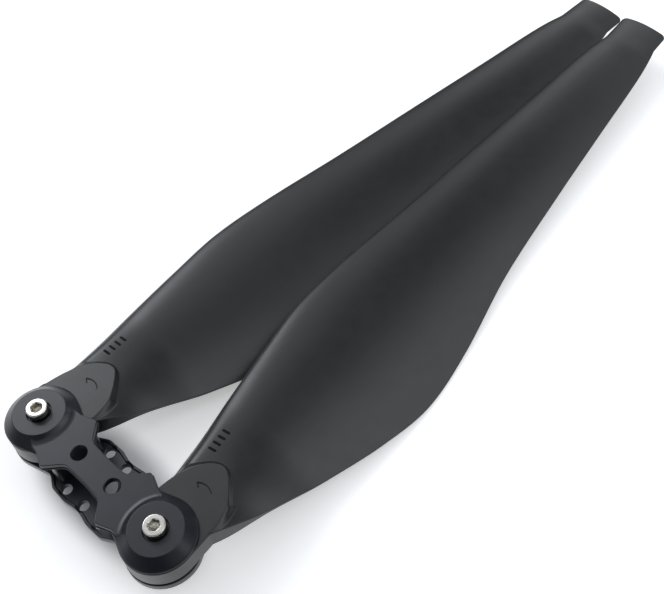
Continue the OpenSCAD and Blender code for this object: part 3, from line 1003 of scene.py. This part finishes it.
def pivot_bolts():
    for side, sign in SIDES.items():
        x = sign * PIVOT_X
        rod = solid(threaded_rod(x, BOLT_END, SEAT_Z + 0.5, BOLT_R, THREAD_PITCH, BOLT_END + THREAD_LEN))
        obj = mesh_object(f"pivot_bolt_steel_{side}", *solid(socket_head(x)))
        combine(obj, rod, "UNION")
        finish_mesh(obj, MATERIALS["stainless_steel"], "hub", [f"pivot_bolt_{side}"])


def nut_rings(x):
    """Rings of a chamfered hexagon nut with the round collar of the nylon ring below it."""
    collar_r, insert_r, n = 3.7, 3.22, 96
    collar_top = NUT_LOW + 1.3
    a = np.arange(n) * 2 * math.pi / n
    hexagon = NUT_ACROSS / 2 / np.cos((a + math.pi / 6) % (math.pi / 3) - math.pi / 6)

    def ring(radius, z):
        radius = np.broadcast_to(radius, a.shape)
        return np.column_stack([x + radius * np.cos(a), radius * np.sin(a), np.full(n, z)])

    def trimmed(down):
        return np.minimum(hexagon, NUT_ACROSS / 2 - 0.15 + down * 1.7)

    rings = [ring(BOLT_BORE_R, NUT_HIGH - 0.3), ring(BOLT_BORE_R + 0.3, NUT_HIGH), ring(trimmed(0), NUT_HIGH)]
    rings += [ring(trimmed(d), NUT_HIGH - d) for d in (0.12, 0.25, 0.38, 0.55)]
    rings += [ring(trimmed(d), collar_top + d) for d in (0.55, 0.38, 0.25, 0.12, 0)]
    rings += [ring(radius, z) for radius, z in (
        (collar_r, collar_top), (collar_r, NUT_LOW + 0.5), (collar_r - 0.12, NUT_LOW + 0.2),
        (collar_r - 0.35, NUT_LOW + 0.02), (insert_r + 0.1, NUT_LOW), (insert_r, NUT_LOW + 0.1),
        (insert_r, collar_top), (BOLT_BORE_R, collar_top))]
    return rings[::-1]


def lock_nuts():
    for side, sign in SIDES.items():
        obj = mesh_object(f"lock_nut_steel_{side}", *solid(nut_rings(sign * PIVOT_X), loop=True))
        finish_mesh(obj, MATERIALS["stainless_steel"], "hub", [f"lock_nut_{side}"])


def dress_cad_nodes():
    """CAD nodes whose shape is right keep it, and get their finish."""
    slots = {row["node"]: row["material_slot"] for row in frame["record"]["subparts"]}
    for name, obj in frame["nodes"].items():
        if obj.hide_render:
            continue
        obj.data.materials.clear()
        obj.data.materials.append(MATERIALS[slots[name]])


# ---- Floor, light and camera ----
FLOOR_REACH = 3.0
FLOOR_GLOW = 0.4
SHADE_AT = (-0.006, 0.004)               # painted shade: the floor's glow is left out in an ellipse under the hub, so it is darker there
SHADE_SIZE = (0.036, 0.016)
SHADE_FADE = (0.85, 1.6)


def studio():
    """The pale floor just under the object; its glow is left out in an ellipse under the hub as painted
    shade.
    """
    reach, low = FLOOR_REACH / MM, CAD_BOX[0].z / MM
    corners = [(x * reach, y * reach, low) for x, y in ((-1, -1), (1, -1), (1, 1), (-1, 1))]
    floor = mesh_object("floor", corners, [(0, 1, 2, 3)])
    pale = Shader("pale_floor", (0.93, 0.93, 0.93), 0.9)
    pale.set("Specular IOR Level", 0.0)
    pale.colour(pale.noise(400, 2), [(0.3, (0.925, 0.925, 0.925)), (0.7, (0.94, 0.94, 0.94))])
    pale.set("Emission Color", (1, 1, 1, 1))
    # painted shade: the glow below fades to nothing in an ellipse under the hub
    shift = pale.add("ShaderNodeVectorMath", operation="MULTIPLY_ADD")
    shift.inputs[1].default_value = (1 / SHADE_SIZE[0], 1 / SHADE_SIZE[1], 0)
    shift.inputs[2].default_value = (-SHADE_AT[0] / SHADE_SIZE[0], -SHADE_AT[1] / SHADE_SIZE[1], 0)
    pale.link(pale.place, shift.inputs[0])
    away = pale.add("ShaderNodeVectorMath", operation="LENGTH")
    pale.link(shift.outputs[0], away.inputs[0])
    fade = pale.add("ShaderNodeMapRange", interpolation_type="SMOOTHSTEP")
    for name, number in zip(("From Min", "From Max", "To Min", "To Max"), SHADE_FADE + (0.0, FLOOR_GLOW)):
        fade.inputs[name].default_value = number
    pale.link(away.outputs["Value"], fade.inputs["Value"])
    pale.link(fade.outputs[0], pale.bsdf.inputs["Emission Strength"])
    floor.data.materials.append(pale.material)


TENT_LEVELS = (0.08, 0.75)               # radiance low down and high up, and the heights between them
TENT_RISE = (0.28, 0.60)
HORIZON_LEVELS = (0.1, 1.0)              # share of the light left at the horizon and above it
HORIZON_RISE = (0.05, 0.40)
TENT_COLOUR = (0.95, 0.985, 1.04, 1)
BACKDROP = 1.05                          # pale backdrop that the camera sees beyond the floor
# Soft panels of the light tent: direction, angles where each starts and ends in degrees, and radiance.
# A negative panel is a dark opening that dims what is behind it by that share.
PANELS = (((-0.78, 0.12, 0.61), 12, 20, 4.2), ((0.50, 0.50, 0.71), 10, 24, 1.1),
          ((-0.22, 0.84, 0.50), 6, 21, 1.1), ((-0.46, 0.38, 0.80), 4, 14, 0.3),
          ((0.48, -0.70, 0.55), 20, 42, -0.95), ((-0.05, 0.64, 0.765), 9, 17, -1.0),
          ((0.19, 0.68, 0.71), 3, 9, -0.5), ((0.71, -0.70, 0.02), 5, 16, 1.0),
          ((0.83, 0.41, 0.38), 4, 14, 1.2))


def room():
    """A light tent: dark low down, with soft panels and dark openings, before a pale backdrop."""
    world = bpy.data.worlds.new("room")
    bpy.context.scene.world = world
    world.use_nodes = True
    tree = world.node_tree
    back = tree.nodes["Background"]
    where = tree.nodes.new("ShaderNodeTexCoord").outputs["Generated"]

    def remap(value, at, level):
        node = tree.nodes.new("ShaderNodeMapRange")
        node.interpolation_type = "SMOOTHSTEP"
        for name, number in zip(("From Min", "From Max", "To Min", "To Max"), at + level):
            node.inputs[name].default_value = number
        tree.links.new(value, node.inputs["Value"])
        return node.outputs[0]

    def join(operation, a, b):
        node = tree.nodes.new("ShaderNodeMath")
        node.operation = operation
        tree.links.new(a, node.inputs[0])
        tree.links.new(b, node.inputs[1])
        return node.outputs[0]

    parts = tree.nodes.new("ShaderNodeSeparateXYZ")
    tree.links.new(where, parts.inputs[0])
    total = remap(parts.outputs["Z"], TENT_RISE, TENT_LEVELS)
    for direction, inner, outer, radiance in PANELS:
        toward = tree.nodes.new("ShaderNodeVectorMath")
        toward.operation = "DOT_PRODUCT"
        toward.inputs[1].default_value = Vector(direction).normalized()
        tree.links.new(where, toward.inputs[0])
        at = (math.cos(math.radians(outer)), math.cos(math.radians(inner)))
        if radiance > 0:
            total = join("ADD", total, remap(toward.outputs["Value"], at, (0.0, radiance)))
        else:
            total = join("MULTIPLY", total, remap(toward.outputs["Value"], at, (1.0, 1.0 + radiance)))
    total = join("MULTIPLY", total, remap(parts.outputs["Z"], HORIZON_RISE, HORIZON_LEVELS))
    seen = tree.nodes.new("ShaderNodeMix")
    tree.links.new(tree.nodes.new("ShaderNodeLightPath").outputs["Is Camera Ray"], seen.inputs["Factor"])
    tree.links.new(total, seen.inputs["A"])
    seen.inputs["B"].default_value = BACKDROP
    tree.links.new(seen.outputs["Result"], back.inputs["Strength"])
    back.inputs["Color"].default_value = TENT_COLOUR


CAMERA_LENS = 43.06                      # millimetres, on a 36 mm sensor
CAMERA_PLACE = (0.1616, -0.0377, 0.2931)
CAMERA_TURN = (38.566, 0.894, 42.329)    # degrees


def camera():
    data = bpy.data.cameras.new("camera")
    data.lens = CAMERA_LENS
    data.sensor_width = 36
    data.clip_start = 0.01
    obj = bpy.data.objects.new("camera", data)
    obj.location = CAMERA_PLACE
    obj.rotation_euler = [math.radians(a) for a in CAMERA_TURN]
    bpy.context.scene.collection.objects.link(obj)
    bpy.context.scene.camera = obj


lower_clamp_plate()
upper_clamp_plate()
blades()
blade_marks()
pivot_bolts()
lock_nuts()
dress_cad_nodes()
studio()
room()
camera()
bpy.context.scene.view_settings.view_transform = "Standard"
